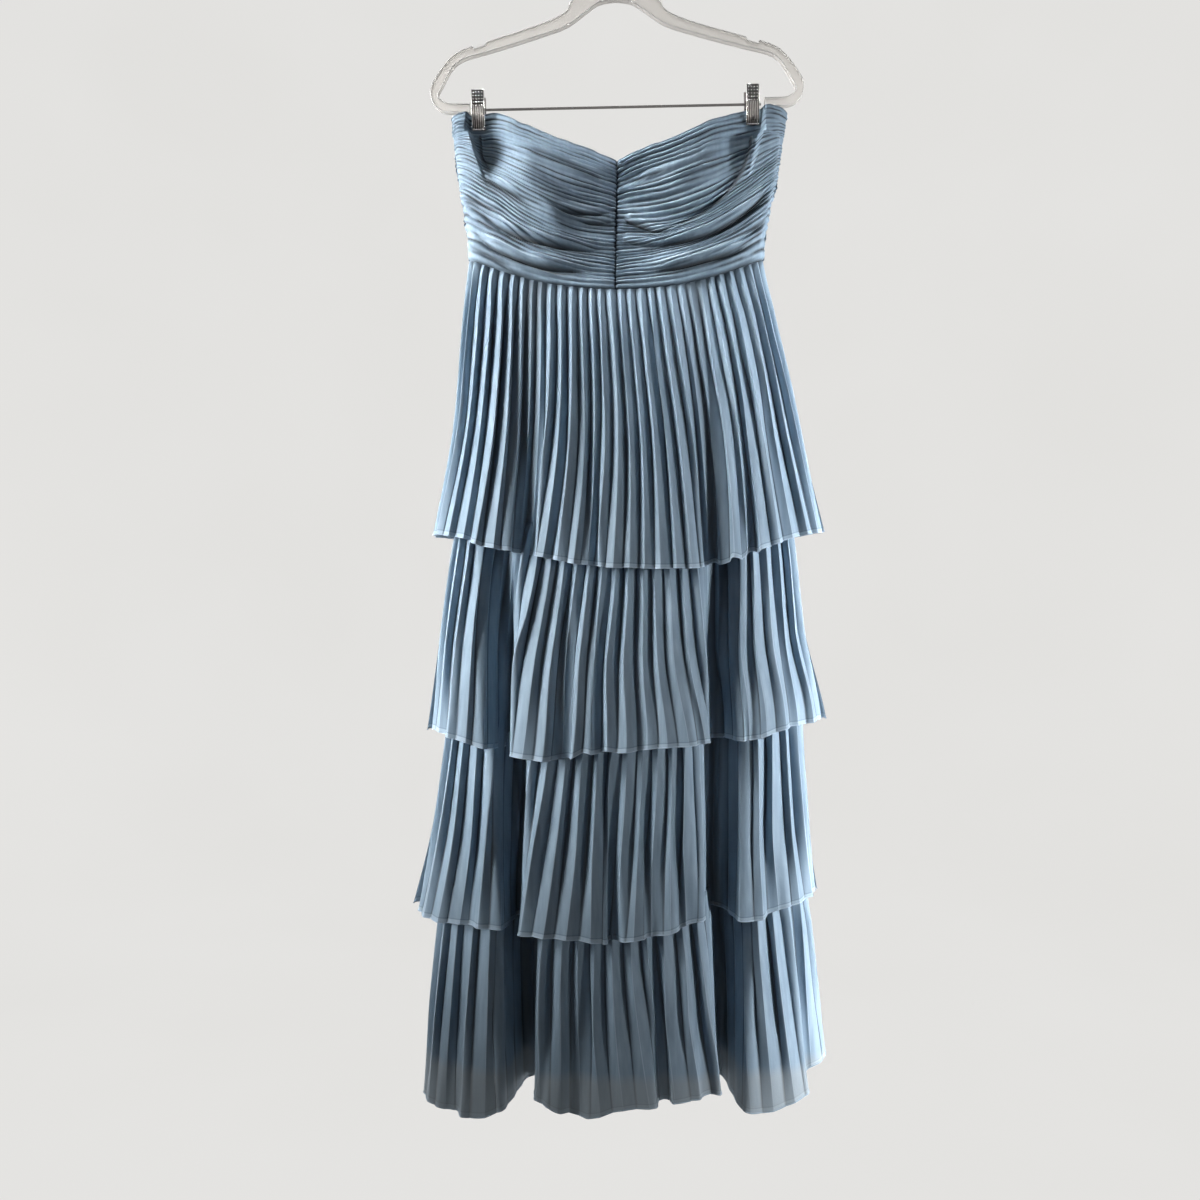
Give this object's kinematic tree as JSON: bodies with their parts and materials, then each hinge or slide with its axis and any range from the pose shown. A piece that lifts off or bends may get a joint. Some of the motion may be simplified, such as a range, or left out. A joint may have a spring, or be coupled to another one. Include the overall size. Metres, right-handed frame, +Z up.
{
  "type": "strapless tiered maxi dress on a clip hanger",
  "caption": "Strapless maxi dress of finely pleated chiffon in stacked tiers under a draped sweetheart bodice, clipped to a clear hanger with a bar and wire hook.",
  "frame": {"origin": "inner top of the hanger's hook, the point that rests on a rail", "axes": "+Z up, +X to the wearer's left (the viewer's right from the front), the front of the dress faces -Y"},
  "size_m": [0.487, 0.1506, 1.4079],
  "materials": {
    "chiffon": "matt pleated chiffon with a faint sheen",
    "lining": "smooth woven lining",
    "clear_plastic": "clear moulded plastic",
    "chrome": "bright plated steel"
  },
  "bodies": {
    "root": {"bodice_front_left": "chiffon", "bodice_front_right": "chiffon", "bodice_back": "chiffon", "tier_1_front": "chiffon", "tier_1_back": "chiffon", "tier_2_front": "chiffon", "tier_2_back": "chiffon", "tier_3_front": "chiffon", "tier_3_back": "chiffon", "tier_4_front": "chiffon", "tier_4_back": "chiffon", "lining_front": "lining", "lining_back": "lining", "hanger_frame": "clear_plastic", "hanger_hook": "chrome", "hanger_bar": "chrome", "clip_left_front_jaw": "chrome", "clip_left_back_jaw": "chrome", "clip_left_spring": "chrome", "clip_right_front_jaw": "chrome", "clip_right_back_jaw": "chrome", "clip_right_spring": "chrome"}
  },
  "joints": []
}
